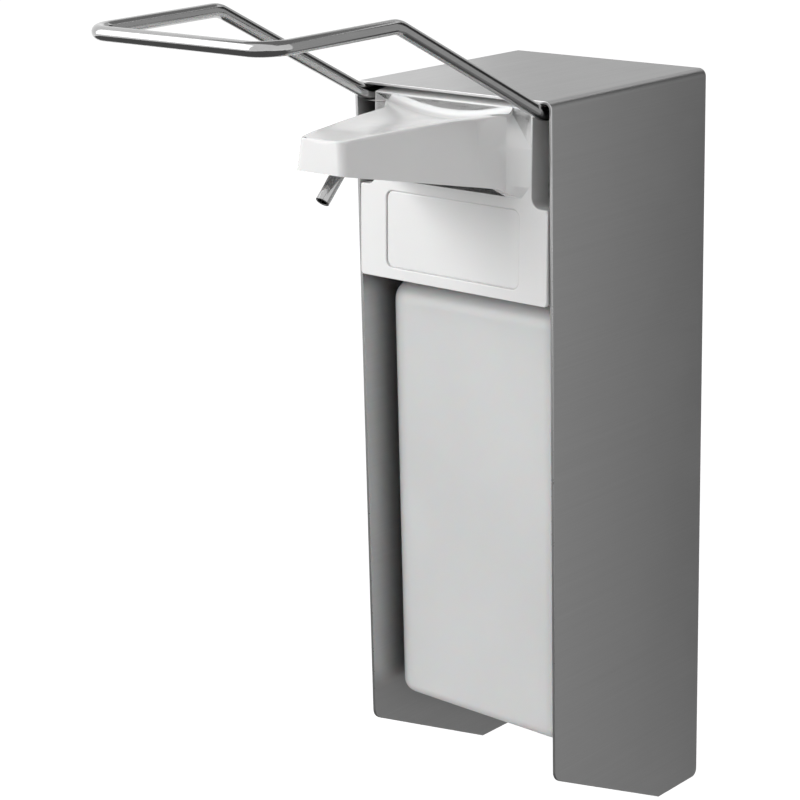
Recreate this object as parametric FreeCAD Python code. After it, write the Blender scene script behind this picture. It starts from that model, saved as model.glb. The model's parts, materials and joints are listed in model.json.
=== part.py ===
"""Wall-hung elbow-lever soap dispenser: folded steel housing, wire lever, pump, bottle and moulded cover.

Millimetres. X runs across the front, Y runs back to the wall (the wall is Y = 0, the front is -Y), Z is up.
Heights below are measured from the housing's lowest edge. The part's origin is the centre of the four
wall slots on the wall plane, so every shape is lowered by wall_slot_height when it is written.
"""
import FreeCAD, Part
import math
import os

V = FreeCAD.Vector
X_AXIS = V(1, 0, 0)
Y_AXIS = V(0, 1, 0)
Z_AXIS = V(0, 0, 1)

# Housing: one folded sheet for the top and the sides
housing_width = 92.0
housing_depth = 92.0
housing_height = 286.0
sheet = 1.2
fold_radius = 3.0
skirt_front_height = 32.0
skirt_level_run = 26.0
skirt_front_radius = 5.0
skirt_rear_radius = 3.0

# Back plate and its four wall slots
back_plate_thickness = 1.2
wall_slot_height = 130.0
wall_slot_spacing_x = 60.0
wall_slot_spacing_z = 140.0
wall_slot_length = 10.0
wall_slot_width = 5.5

# Fits
slide_gap = 0.3
shaft_gap = 0.03
pin_gap = 0.08
overrun = 1.0

# Wire lever: heights from the arms' level run, reaches from the housing's front edge
wire_diameter = 5.0
arm_panel_gap = 1.3
arm_bend_setback = 1.5
arm_bend_radius = 10.0
knee_run = 71.8
knee_rise = 38.4
knee_radius = 11.0
loop_length = 58.0
loop_drop = 0.9
bar_corner_radius = 9.0

# Rubber stops that the arms rest against
stop_thickness = 1.0
stop_length = 10.0
stop_overhang = 2.0
stop_side_trim = 0.6
stop_corner = 1.0

# Lever pivot, its bracket and its bushes
press_angle = 20.0
pivot_drop = 9.0
shaft_diameter = 5.0
bush_wall = 1.0
bush_flange_width = 1.0
bush_flange_thickness = 0.8
bracket_thickness = 1.5
ear_nose_wall = 2.0
pivot_web_above = 9.0
pivot_web_below = 11.0
clip_thickness = 0.7
clip_width = 1.8
clip_mouth = 4.0
shaft_end_length = 0.8
shaft_chamfer = 0.4

# Rocker, its two arm sockets and its press pad
rocker_thickness = 1.5
rocker_hub_radius = 5.5
rocker_neck_run = 14.0
rocker_corner = 3.0
rocker_web_depth = 24.0
rocker_web_setback = 3.0
rocker_belly = 2.0
pad_radius = 3.7
pad_width = 16.0
pad_lead = 2.0
pad_rise = 1.6
pad_stub_radius = 2.0
pad_button_radius = 3.0
pad_button_height = 0.8
socket_wall = 1.1
socket_length = 30.0
socket_back_run = 12.0
socket_floor = 2.0
socket_corner = 1.2
socket_screw_diameter = 3.0
socket_screw_run = 13.5
socket_screw_recess = 0.6

# Pump stroke and the pump's moving parts
pump_stroke = 12.0
head_diameter = 22.0
head_length = 15.5
head_rim_radius = 1.2
head_neck_diameter = 12.0
head_neck_length = 3.0
rod_diameter = 6.0
rod_bore = 3.0
rod_insert = 5.0
tube_diameter = 5.0
tube_bore = 3.6
tube_drop = 4.7
tube_insert = 6.0
tube_bend_run = 12.1
tube_bend_fall = 12.3
tube_bend_radius = 9.0
nut_across_flats = 9.0
nut_length = 6.0
nut_chamfer = 0.6
nut_seat_depth = 0.8
piston_length = 8.0
piston_gap = 0.25
piston_socket_floor = 2.0
ring_section = 1.6
ring_bite = 0.4
outlet_seat_diameter = 1.8
outlet_ball_diameter = 2.4

# The pump's fixed parts
cylinder_bore = 12.6
cylinder_wall = 1.7
cylinder_length = 54.0
cylinder_flange_diameter = 26.0
cylinder_flange_thickness = 2.4
collar_flange_diameter = 24.0
collar_flange_thickness = 3.0
collar_nose_diameter = 13.0
collar_nose_length = 9.0
collar_nose_radius = 1.0
collar_plug_length = 4.0
collar_head_gap = 3.8
foot_plug_length = 4.0
foot_body_length = 6.0
foot_nipple_length = 8.0
foot_bore = 3.0
inlet_seat_depth = 3.0
inlet_ball_gap = 0.6
inlet_ball_diameter = 5.0
suction_diameter = 7.0
suction_bore = 4.6
suction_floor_gap = 3.5
suction_bevel = 25.0
spring_wire = 0.9
spring_mean_diameter = 9.0
spring_turns = 7

# Pump cradle on its fork
fork_gap_width = 50.0
fork_panel_gap = 4.8
fork_setback = 4.0
fork_web_depth = 10.0
fork_web_radius = 1.2
fork_tine_radius = 3.0
fork_flange_height = 18.0
cradle_deck_thickness = 3.3
cradle_lip_thickness = 2.0
cradle_lip_width = 7.0
cradle_panel_gap = 6.8
cradle_setback = 12.0
cradle_back_gap = 1.5
cradle_corner = 6.0
cradle_edge = 0.5
seal_thickness = 2.0
cover_pin_spacing = 56.0
cover_pin_diameter = 5.0
cover_pin_post = 8.0
cover_pin_cover_gap = 1.5
pin_post_margin = 2.0

# Bottle
bottle_panel_gap = 2.3
bottle_setback = 10.0
bottle_back_gap = 4.8
bottle_lift = 9.0
bottle_corner_radius = 9.0
bottle_floor_radius = 5.0
bottle_shoulder_radius = 9.0
bottle_wall = 1.3
bottle_base_recess = 1.5
bottle_base_margin = 9.0
bottle_base_corner = 5.0
neck_diameter = 32.0
neck_length = 8.9
neck_bead = 1.2
neck_bead_height = 2.4
neck_bead_rise = 1.0

# Bottle shelf
shelf_width = 56.0
shelf_front_setback = 8.0
shelf_flange = 6.0
shelf_leg = 16.0
shelf_corner = 8.0
shelf_gusset = 6.0

# Rivets that hold the brackets to the back plate
rivet_diameter = 3.2
rivet_head_diameter = 6.0
rivet_head_height = 1.3
shelf_rivet_spacing = 34.0
shelf_rivet_drop = 9.6
fork_rivet_spacing = 30.0
fork_rivet_drop = 9.9
pivot_rivet_spacing = 40.0

# Front cover, in its own upright frame: face at y = 0, lower edge at z = 0
cover_proud = 1.4
cover_lean = 1.97
cover_panel_gap = 0.6
cover_top_gap = 0.9
cover_wall = 2.2
cover_rim_wall = 1.8
cover_rim_depth = 10.0
plate_height = 34.5
slot_floor_radius = 4.0
slot_arm_gap = 1.6
slot_floor_gap = 3.1
cover_corner_radius = 1.5
slot_corner_radius = 0.9
tower_corner_radius = 2.5
ridge_drop = 1.3
ridge_run = 4.5
label_width = 63.0
label_height = 28.9
label_floor = 4.3
label_corner = 3.0
label_depth = 0.5
boss_wall = 1.6
boss_root = 1.0

# Beak of the cover: heights from the outlet tube's centre line, or from the tower's ridge
beak_reach = 68.4
beak_tip_setback = 0.8
beak_tip_below = 4.6
beak_tip_above = 6.7
beak_tip_half_low = 11.4
beak_tip_half_high = 10.2
beak_tip_radius = 4.0
beak_side_slope = 0.206
beak_ridge_gap = 2.6
beak_root_half_high = 28.3
beak_shoulder_drop = 11.5
beak_flare_length = 12.0
beak_crease_ahead = 3.5
beak_flare_rise = 1.5
beak_flare_floor_half = 31.0
beak_flare_waist = 6.0
beak_flare_gap = 0.3
beak_root_dish = 4.0
beak_crest_drop = 0.5
beak_crest_dish = 3.0
beak_tip_dish = 0.4
beak_root_fillet = 3.0
beak_wall = 1.8
beak_lip = 0.4
passage_gap = 0.5
passage_roof = 1.0
tube_tip_gap = 1.6

# Across the front
half_inside = housing_width / 2 - sheet
arm_x = half_inside - arm_panel_gap - wire_diameter / 2
arm_inner = arm_x - wire_diameter / 2
arm_outer = arm_x + wire_diameter / 2
cheek_outer = arm_inner - socket_wall
cheek_inner = cheek_outer - rocker_thickness
bush_flange_outer = cheek_inner - slide_gap
ear_outer = bush_flange_outer - bush_flange_thickness
ear_inner = ear_outer - bracket_thickness
bush_radius = shaft_diameter / 2 + shaft_gap + bush_wall
tower_half = arm_inner - slot_arm_gap
plate_half = half_inside - cover_panel_gap
flare_half = tower_half - beak_flare_gap
bottle_half = half_inside - bottle_panel_gap
cradle_half = half_inside - cradle_panel_gap
fork_half = half_inside - fork_panel_gap
fold_inner_radius = max(fold_radius - sheet, 0.2)

# From front to back
front_edge = -housing_depth
plate_face = -back_plate_thickness
bottle_front = front_edge + bottle_setback
bottle_back = plate_face - bottle_back_gap
pump_y = (bottle_front + bottle_back) / 2
press_arm = pump_stroke / (2 * math.sin(math.radians(press_angle / 2)))
pad_y = pump_y - pad_lead
pivot_y = pad_y + press_arm * math.cos(math.radians(press_angle / 2))
arm_bend_y = front_edge + arm_bend_setback
knee_y = front_edge - knee_run
bar_y = knee_y - loop_length
arm_slope = math.atan(knee_rise / (arm_bend_y - knee_y))
arm_bend_start = arm_bend_y + arm_bend_radius * math.tan(arm_slope / 2)
cradle_front = front_edge + cradle_setback
cradle_back = plate_face - fork_web_depth - cradle_back_gap
cover_front = front_edge - cover_proud
beak_tip_y = cover_front - beak_reach
head_face = pump_y - head_diameter / 2

# Heights, from the housing's top down
sheet_floor = housing_height - sheet
arm_top = sheet_floor - stop_thickness - slide_gap
arm_height = arm_top - wire_diameter / 2
arm_floor = arm_height - wire_diameter / 2
pivot_height = arm_height - pivot_drop
pad_z = pivot_height + pump_stroke / 2
web_floor = pad_z + pad_rise
web_top = web_floor + rocker_thickness
head_top = pad_z - pad_radius - slide_gap
head_floor = head_top - head_length
tube_height = head_top - tube_drop
collar_top = head_floor - pump_stroke - collar_head_gap
collar_shoulder = collar_top - collar_nose_length
cylinder_top = collar_shoulder - collar_flange_thickness
cylinder_floor = cylinder_top - cylinder_length
cylinder_radius = cylinder_bore / 2 + cylinder_wall
deck_top = cylinder_top - cylinder_flange_thickness
deck_floor = deck_top - cradle_deck_thickness
fork_top = deck_floor - slide_gap
fork_floor = fork_top - bracket_thickness
lip_top = fork_floor - slide_gap
cradle_floor = lip_top - cradle_lip_thickness
neck_top = cradle_floor - seal_thickness
pin_z = deck_top + pin_post_margin + cover_pin_diameter / 2
bottle_shoulder = neck_top - neck_length
bottle_floor = skirt_front_height + bottle_lift
bottle_inner_floor = bottle_floor + bottle_base_recess + bottle_wall
shelf_top = bottle_floor - slide_gap
piston_top = cylinder_top - collar_plug_length - slide_gap
piston_floor = piston_top - piston_length
piston_radius = cylinder_bore / 2 - piston_gap
foot_plug_top = cylinder_floor + foot_plug_length
foot_body_floor = cylinder_floor - foot_body_length
suction_floor = bottle_inner_floor + suction_floor_gap

# The cover's heights: its slots end just under the pressed arms
pressed = math.radians(press_angle)
pressed_arm = pivot_height + pivot_drop * math.cos(pressed) - (pivot_y - arm_bend_y) * math.sin(pressed)
cover_floor = pressed_arm - wire_diameter / 2 - slot_floor_gap - plate_height
tower_top = sheet_floor - cover_top_gap - cover_floor
ridge_z = tower_top - ridge_drop
tube_z = tube_height - cover_floor
beak_tip_floor = tube_z - beak_tip_below
beak_tip_top = tube_z + beak_tip_above
passage_floor = tube_z - pump_stroke - tube_diameter / 2 - passage_gap
beak_root_floor = passage_floor - beak_lip
beak_root_top = ridge_z - beak_ridge_gap
beak_shoulder = beak_root_top - beak_shoulder_drop
beak_flare_floor = plate_height + beak_flare_rise
beak_waist = beak_flare_floor + beak_flare_waist


def box(x0, x1, y0, y1, z0, z1):
    """A block between two corners."""
    return Part.makeBox(x1 - x0, y1 - y0, z1 - z0, V(x0, y0, z0))


def rod_x(radius, x0, x1, y, z):
    """A cylinder along X."""
    return Part.makeCylinder(radius, x1 - x0, V(x0, y, z), X_AXIS)


def rod_y(radius, x, y0, y1, z):
    """A cylinder along Y."""
    return Part.makeCylinder(radius, y1 - y0, V(x, y0, z), Y_AXIS)


def rod_z(radius, x, y, z0, z1):
    """A cylinder along Z."""
    return Part.makeCylinder(radius, z1 - z0, V(x, y, z0), Z_AXIS)


def fuse(shapes):
    """One solid from several that touch or overlap."""
    return shapes[0].multiFuse(shapes[1:]).removeSplitter()


def cut(shape, tools):
    """The shape with all the tools taken away."""
    return shape.cut(Part.makeCompound(tools))


def outline(corners, place):
    """A closed wire round (u, v, radius) corners, with each corner rounded by its radius.

    place turns (u, v) into a point in space.
    """
    count = len(corners)
    edges = []
    ends = []
    for i, (u, v, radius) in enumerate(corners):
        before = V(corners[i - 1][0] - u, corners[i - 1][1] - v, 0)
        after = V(corners[(i + 1) % count][0] - u, corners[(i + 1) % count][1] - v, 0)
        before.normalize()
        after.normalize()
        corner = V(u, v, 0)
        if radius <= 0:
            ends.append((corner, corner, None))
            continue
        half = before.getAngle(after) / 2
        reach = radius / math.tan(half)
        middle = before + after
        middle.normalize()
        top = corner + middle * (radius / math.sin(half) - radius)
        ends.append((corner + before * reach, corner + after * reach, top))
    for i, (start, end, top) in enumerate(ends):
        if top is not None:
            arc = [place(point.x, point.y) for point in (start, top, end)]
            edges.append(Part.Arc(*arc).toShape())
        following = ends[(i + 1) % count][0]
        if end.distanceToPoint(following) > 1e-6:
            edges.append(Part.LineSegment(place(end.x, end.y), place(following.x, following.y)).toShape())
    return Part.Wire(edges)


def prism_x(corners, x0, x1):
    """A solid along X whose section is (y, z, radius) corners."""
    wire = outline(corners, lambda y, z: V(x0, y, z))
    return Part.Face(wire).extrude(V(x1 - x0, 0, 0))


def prism_y(corners, y0, y1):
    """A solid along Y whose section is (x, z, radius) corners."""
    wire = outline(corners, lambda x, z: V(x, y0, z))
    return Part.Face(wire).extrude(V(0, y1 - y0, 0))


def prism_z(corners, z0, z1):
    """A solid along Z whose section is (x, y, radius) corners."""
    wire = outline(corners, lambda x, y: V(x, y, z0))
    return Part.Face(wire).extrude(V(0, 0, z1 - z0))


def edges_where(shape, test):
    """The edges whose centre of mass passes the test."""
    return [edge for edge in shape.Edges if test(edge.CenterOfMass, edge)]


def both_sides(make):
    """make(side) for the left side, -1, and the right side, 1, in one compound."""
    return Part.makeCompound([make(-1), make(1)])


def span(side, inner, outer):
    """(low, high) X of what reaches from inner to outer on the left side, -1, or the right side, 1."""
    return (inner, outer) if side > 0 else (-outer, -inner)


def bend(corner, before, after, radius):
    """(start, middle, end) of the arc of that radius that rounds a corner between two points."""
    back = (before - corner).normalize()
    ahead = (after - corner).normalize()
    half = back.getAngle(ahead) / 2
    reach = radius / math.tan(half)
    crown = (back + ahead).normalize() * (radius / math.sin(half) - radius)
    return corner + back * reach, corner + crown, corner + ahead * reach


def path_wire(points, radii):
    """Straight runs through the points, joined by tangent arcs of the given radii at the inner points."""
    edges = []
    start = points[0]
    for before, corner, after, radius in zip(points, points[1:], points[2:], radii):
        arc_start, middle, arc_end = bend(corner, before, after, radius)
        edges.append(Part.LineSegment(start, arc_start).toShape())
        edges.append(Part.Arc(arc_start, middle, arc_end).toShape())
        start = arc_end
    edges.append(Part.LineSegment(start, points[-1]).toShape())
    return Part.Wire(edges)


def swept_rod(points, radii, radius):
    """A round rod along straight runs and tangent arcs."""
    circle = Part.Circle(points[0], points[1] - points[0], radius).toShape()
    return path_wire(points, radii).makePipeShell([Part.Wire([circle])], True, False)


# Housing

def side_outline():
    """The side panels' outline, seen along X: the skirt slants down from the front, then runs level."""
    return [
        (front_edge, housing_height, 0),
        (front_edge, skirt_front_height, skirt_front_radius),
        (-skirt_level_run, 0, 0),
        (0, 0, skirt_rear_radius),
        (0, housing_height, 0),
    ]


def make_housing_shell():
    half = housing_width / 2
    outside = [
        (-half, 0, 0),
        (half, 0, 0),
        (half, housing_height, fold_radius),
        (-half, housing_height, fold_radius),
    ]
    inside = [
        (-half_inside, -overrun, 0),
        (half_inside, -overrun, 0),
        (half_inside, sheet_floor, fold_inner_radius),
        (-half_inside, sheet_floor, fold_inner_radius),
    ]
    shell = prism_y(outside, front_edge, 0).cut(prism_y(inside, front_edge - overrun, overrun))
    return shell.common(prism_x(side_outline(), -half, half))


def wall_slot(side_x, side_z):
    """One of the four slots for the wall screws, along X."""
    x = side_x * wall_slot_spacing_x / 2
    z = wall_slot_height + side_z * wall_slot_spacing_z / 2
    radius = wall_slot_width / 2
    straight = wall_slot_length / 2 - radius
    ends = [rod_y(radius, x + side * straight, plate_face - overrun, overrun, z) for side in (-1, 1)]
    middle = box(x - straight, x + straight, plate_face - overrun, overrun, z - radius, z + radius)
    return fuse([middle] + ends)


def make_back_plate():
    corners = [
        (-half_inside, 0, 0),
        (half_inside, 0, 0),
        (half_inside, sheet_floor, fold_inner_radius),
        (-half_inside, sheet_floor, fold_inner_radius),
    ]
    plate = prism_y(corners, plate_face, 0)
    return cut(plate, [wall_slot(sx, sz) for sx in (-1, 1) for sz in (-1, 1)] + rivet_holes())


# The brackets on the back plate, and their rivets

def rivet_places():
    """(x, z, thickness of the bracket) of every rivet."""
    rows = [
        (shelf_rivet_spacing, shelf_top - shelf_rivet_drop, sheet),
        (fork_rivet_spacing, fork_floor - fork_rivet_drop, bracket_thickness),
        (pivot_rivet_spacing, pivot_height, bracket_thickness),
    ]
    return [(side * spacing / 2, z, thickness) for spacing, z, thickness in rows for side in (-1, 1)]


def rivet_holes():
    """A hole for each rivet, through its bracket and the back plate."""
    return [
        rod_y(rivet_diameter / 2, x, plate_face - thickness - overrun, overrun, z)
        for x, z, thickness in rivet_places()
    ]


def make_bracket_rivets():
    """Domed heads in front, shanks through the bracket and the plate, flush at the wall."""
    bulge = (rivet_head_diameter ** 2 / 4 + rivet_head_height ** 2) / (2 * rivet_head_height)
    rivets = []
    for x, z, thickness in rivet_places():
        seat = plate_face - thickness
        crown = seat - rivet_head_height
        shank = rod_y(rivet_diameter / 2, x, seat, 0, z)
        ball = Part.makeSphere(bulge, V(x, crown + bulge, z))
        head = ball.common(rod_y(rivet_head_diameter / 2, x, crown, seat, z))
        rivets.append(shank.fuse(head).removeSplitter())
    return Part.makeCompound(rivets)


def make_bottle_shelf():
    """A folded shelf: deck under the bottle, a leg down the back plate and a small flange down each side."""
    half = shelf_width / 2
    front = bottle_front + shelf_front_setback
    flange_front = front + shelf_corner
    deck_corners = [
        (-half, plate_face, 0),
        (half, plate_face, 0),
        (half, front, shelf_corner),
        (-half, front, shelf_corner),
    ]
    deck = prism_z(deck_corners, shelf_top - sheet, shelf_top)
    leg = box(-half, half, plate_face - sheet, plate_face, shelf_top - shelf_leg, shelf_top)
    flange_corners = [
        (plate_face, shelf_top, 0),
        (plate_face, shelf_top - shelf_leg, 0),
        (plate_face - shelf_gusset, shelf_top - shelf_leg, shelf_gusset / 3),
        (plate_face - shelf_leg, shelf_top - shelf_flange, shelf_gusset / 2),
        (flange_front, shelf_top - shelf_flange, sheet),
        (flange_front, shelf_top, 0),
    ]
    flanges = [prism_x(flange_corners, *span(side, half - sheet, half)) for side in (-1, 1)]
    return cut(fuse([deck, leg] + flanges), rivet_holes())


def make_pump_bracket():
    """A fork of two tines that carries the pump cradle, with a flange down the back plate."""
    gap = fork_gap_width / 2
    web = plate_face - fork_web_depth
    tip = cradle_front + fork_setback
    corners = [
        (-fork_half, plate_face, 0),
        (fork_half, plate_face, 0),
        (fork_half, tip, fork_tine_radius),
        (gap, tip, fork_tine_radius),
        (gap, web, fork_web_radius),
        (-gap, web, fork_web_radius),
        (-gap, tip, fork_tine_radius),
        (-fork_half, tip, fork_tine_radius),
    ]
    fork = prism_z(corners, fork_floor, fork_top)
    flange_floor = fork_floor - fork_flange_height
    flange = box(-fork_half, fork_half, plate_face - bracket_thickness, plate_face, flange_floor, fork_top)
    return cut(fuse([fork, flange]), rivet_holes())


def make_pivot_bracket():
    """A channel on the back plate whose two ears hold the bushes."""
    nose = bush_radius + ear_nose_wall
    low = pivot_height - pivot_web_below
    high = pivot_height + pivot_web_above
    web = box(-ear_outer, ear_outer, plate_face - bracket_thickness, plate_face, low, high)
    ear_corners = [
        (plate_face, low, 0),
        (plate_face, high, 0),
        (pivot_y, pivot_height + nose, 0),
        (pivot_y, pivot_height - nose, 0),
    ]
    ears = [prism_x(ear_corners, *span(side, ear_inner, ear_outer)) for side in (-1, 1)]
    noses = [rod_x(nose, *span(side, ear_inner, ear_outer), pivot_y, pivot_height) for side in (-1, 1)]
    bore = rod_x(bush_radius, -housing_width, housing_width, pivot_y, pivot_height)
    return cut(fuse([web] + ears + noses), [bore] + rivet_holes())


def make_pivot_bush(side):
    """A flanged plastic bush in one ear, with its flange between the ear and the rocker."""
    barrel = rod_x(bush_radius, *span(side, ear_inner, ear_outer), pivot_y, pivot_height)
    flange_radius = bush_radius + bush_flange_width
    flange = rod_x(flange_radius, *span(side, ear_outer, bush_flange_outer), pivot_y, pivot_height)
    bore = rod_x(shaft_diameter / 2 + shaft_gap, -housing_width, housing_width, pivot_y, pivot_height)
    return barrel.fuse(flange).removeSplitter().cut(bore)


def make_lever_stops():
    """Rubber pads under the top sheet, which the lever's arms rest against."""
    front = arm_bend_start - stop_overhang
    low = arm_top + slide_gap

    def pad(side):
        x0, x1 = span(side, arm_inner + stop_side_trim, arm_outer - stop_side_trim)
        corners = [
            (x0, front, stop_corner),
            (x1, front, stop_corner),
            (x1, front + stop_length, stop_corner),
            (x0, front + stop_length, stop_corner),
        ]
        return prism_z(corners, low, sheet_floor)

    return both_sides(pad)


# Lever

def make_lever_wire():
    """One bent wire: two arms that rise out of the slots to the knees, and a loop with a front bar."""
    tail_y = pivot_y - socket_back_run - socket_floor
    knee_z = arm_height + knee_rise
    side = [
        V(arm_x, tail_y, arm_height),
        V(arm_x, arm_bend_y, arm_height),
        V(arm_x, knee_y, knee_z),
        V(arm_x, bar_y, knee_z - loop_drop),
    ]
    mirrored = [V(-p.x, p.y, p.z) for p in reversed(side)]
    radii = [arm_bend_radius, knee_radius, bar_corner_radius, bar_corner_radius, knee_radius, arm_bend_radius]
    return swept_rod(side + mirrored, radii, wire_diameter / 2)


def make_arm_socket(side):
    """A block with a blind bore for one arm's tail, welded to the rocker's cheek."""
    x0, x1 = span(side, cheek_outer, arm_outer + socket_wall)
    low = arm_floor - socket_wall
    high = arm_top + socket_wall
    back = pivot_y - socket_back_run
    corners = [
        (x0, low, socket_corner),
        (x1, low, socket_corner),
        (x1, high, socket_corner),
        (x0, high, socket_corner),
    ]
    block = prism_y(corners, back - socket_length, back)
    bore_end = back - socket_floor
    bore = rod_y(wire_diameter / 2, side * arm_x, back - socket_length - overrun, bore_end, arm_height)
    hole = rod_z(socket_screw_diameter / 2, side * arm_x, back - socket_screw_run, low - overrun, arm_floor)
    return cut(block, [bore, hole])


def make_socket_screws():
    """A grub screw under each arm, with a hexagon recess."""
    low = arm_floor - socket_wall
    y = pivot_y - socket_back_run - socket_screw_run
    recess = socket_screw_diameter / 4

    def screw(side):
        x = side * arm_x
        turns = [math.radians(60 * k) for k in range(6)]
        hexagon = [(x + recess * math.cos(turn), y + recess * math.sin(turn), 0) for turn in turns]
        body = rod_z(socket_screw_diameter / 2, x, y, low, arm_floor)
        return body.cut(prism_z(hexagon, low - overrun, low + socket_screw_recess))

    return both_sides(screw)


def make_rocker():
    """A yoke: two cheeks on the pivot shaft, joined by a web over the pump head."""
    web_front = pad_y - rocker_web_depth / 2
    web_back = pad_y + rocker_web_depth / 2
    cheek_front = web_front - rocker_web_setback
    neck_y = pivot_y - rocker_neck_run
    belly = arm_floor - socket_wall - rocker_belly
    cheek_corners = [
        (pivot_y, pivot_height - rocker_hub_radius, 0),
        (pivot_y, pivot_height + rocker_hub_radius, 0),
        (neck_y, arm_top, rocker_corner),
        (cheek_front, arm_top, rocker_corner),
        (cheek_front, belly, rocker_corner),
        (neck_y, pivot_height - rocker_hub_radius, rocker_corner),
    ]
    web = box(-cheek_inner, cheek_inner, web_front, web_back, web_floor, web_top)
    cheeks = [prism_x(cheek_corners, *span(side, cheek_inner, cheek_outer)) for side in (-1, 1)]
    hubs = [
        rod_x(rocker_hub_radius, *span(side, cheek_inner, cheek_outer), pivot_y, pivot_height)
        for side in (-1, 1)
    ]
    bore = rod_x(shaft_diameter / 2, -housing_width, housing_width, pivot_y, pivot_height)
    stub_hole = rod_z(pad_stub_radius, 0, pad_y, web_floor - overrun, web_top + overrun)
    return cut(fuse([web] + cheeks + hubs), [bore, stub_hole])


def make_press_pad():
    """A moulded pad with a round underside, held in the web by a headed stub."""
    half = pad_width / 2
    roll = rod_x(pad_radius, -half, half, pad_y, pad_z)
    below = box(-half, half, pad_y - pad_radius, pad_y + pad_radius, pad_z - pad_radius, pad_z)
    block = box(-half, half, pad_y - pad_radius, pad_y + pad_radius, pad_z, web_floor)
    stub = rod_z(pad_stub_radius, 0, pad_y, web_floor, web_top)
    button = rod_z(pad_button_radius, 0, pad_y, web_top, web_top + pad_button_height)
    return fuse([roll.common(below), block, stub, button])


def make_pivot_shaft():
    end = cheek_outer + clip_thickness + shaft_end_length
    shaft = rod_x(shaft_diameter / 2, -end, end, pivot_y, pivot_height)
    rims = edges_where(shaft, lambda c, edge: edge.Closed)
    return shaft.makeChamfer(shaft_chamfer, rims)


def make_shaft_clips():
    """Retaining rings on the shaft's ends, open below."""
    outer_radius = shaft_diameter / 2 + clip_width
    half_mouth = clip_mouth / 2

    def ring(side):
        x0, x1 = span(side, cheek_outer, cheek_outer + clip_thickness)
        outer = rod_x(outer_radius, x0, x1, pivot_y, pivot_height)
        bore = rod_x(shaft_diameter / 2, x0 - overrun, x1 + overrun, pivot_y, pivot_height)
        low = pivot_height - outer_radius - overrun
        mouth = box(x0 - overrun, x1 + overrun, pivot_y - half_mouth, pivot_y + half_mouth, low, pivot_height)
        return cut(outer, [bore, mouth])

    return both_sides(ring)


# Pump: the parts that move with the stroke

def make_pump_head():
    """The push head: a round boss below for the rod, and a flat in front with a bore for the outlet tube."""
    radius = head_diameter / 2
    neck_top_z = head_floor + head_neck_length
    body = rod_z(radius, 0, pump_y, neck_top_z, head_top)
    rim = edges_where(body, lambda c, edge: c.z > head_top - overrun and edge.Closed)
    body = body.makeFillet(head_rim_radius, rim)
    neck = rod_z(head_neck_diameter / 2, 0, pump_y, head_floor, neck_top_z)
    rod_hole = rod_z(rod_diameter / 2, 0, pump_y, head_floor - overrun, head_floor + rod_insert)
    passage = rod_z(rod_bore / 2, 0, pump_y, head_floor, tube_height)
    seat = head_face + nut_seat_depth
    flat = box(-radius, radius, head_face - overrun, seat, neck_top_z - overrun, head_top + overrun)
    tube_hole = rod_y(tube_diameter / 2, 0, head_face, head_face + tube_insert, tube_height)
    tube_passage = rod_y(tube_bore / 2, 0, head_face, pump_y, tube_height)
    return cut(fuse([body, neck]), [rod_hole, passage, flat, tube_hole, tube_passage])


def tube_path():
    """The outlet tube's centre line: level through the beak, then bent down behind the tip."""
    tip_y = beak_tip_y + beak_tip_floor * math.sin(math.radians(cover_lean))
    end_y = tip_y + tube_tip_gap
    return [
        V(0, head_face + tube_insert, tube_height),
        V(0, end_y + tube_bend_run, tube_height),
        V(0, end_y, tube_height - tube_bend_fall),
    ]


def make_outlet_tube():
    outer = swept_rod(tube_path(), [tube_bend_radius], tube_diameter / 2)
    inner = swept_rod(tube_path(), [tube_bend_radius], tube_bore / 2)
    return outer.cut(inner)


def make_tube_nut():
    """A hexagon nut, rounded at its corners, that clamps the tube in the head."""
    back = head_face + nut_seat_depth
    front = back - nut_length
    radius = nut_across_flats / math.sqrt(3)
    turns = [math.radians(60 * k) for k in range(6)]
    hexagon = [(radius * math.cos(turn), tube_height + radius * math.sin(turn), 0) for turn in turns]
    round_nut = rod_y(radius, 0, front, back, tube_height)
    round_nut = round_nut.makeChamfer(nut_chamfer, edges_where(round_nut, lambda c, edge: edge.Closed))
    bore = rod_y(tube_diameter / 2, 0, front - overrun, back + overrun, tube_height)
    return prism_y(hexagon, front, back).common(round_nut).cut(bore)


def make_piston_rod():
    """A hollow rod from the head down into the piston."""
    low = piston_floor + piston_socket_floor
    high = head_floor + rod_insert
    return rod_z(rod_diameter / 2, 0, pump_y, low, high).cut(rod_z(rod_bore / 2, 0, pump_y, low, high))


def ring_span():
    """(lower face, upper face, inner radius) of the ring in the piston's groove."""
    low = piston_floor + (piston_length - ring_section) / 2
    return low, low + ring_section, piston_radius - ring_section + ring_bite


def make_piston():
    """A turned piston with one ring groove, a socket for the rod and a seat below for the outlet ball."""
    low, high, inner = ring_span()
    body = rod_z(piston_radius, 0, pump_y, piston_floor, piston_top)
    groove = rod_z(piston_radius + overrun, 0, pump_y, low, high).cut(rod_z(inner, 0, pump_y, low, high))
    socket_z = piston_floor + piston_socket_floor
    socket = rod_z(rod_diameter / 2, 0, pump_y, socket_z, piston_top + overrun)
    seat = rod_z(outlet_seat_diameter / 2, 0, pump_y, piston_floor - overrun, socket_z)
    return cut(body, [groove, socket, seat])


def make_piston_ring():
    """A rubber ring in the piston's groove, a sliding fit in the bore."""
    low, high, inner = ring_span()
    outer = rod_z(cylinder_bore / 2 - shaft_gap, 0, pump_y, low, high)
    return outer.cut(rod_z(inner, 0, pump_y, low, high))


def seated_ball(diameter, seat_diameter, seat_z):
    """A ball that rests on the rim of a round seat."""
    rise = math.sqrt(diameter ** 2 - seat_diameter ** 2) / 2
    return Part.makeSphere(diameter / 2, V(0, pump_y, seat_z + rise))


def make_outlet_ball():
    return seated_ball(outlet_ball_diameter, outlet_seat_diameter, piston_floor + piston_socket_floor)


# Pump: the parts that stay in the cradle

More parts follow.
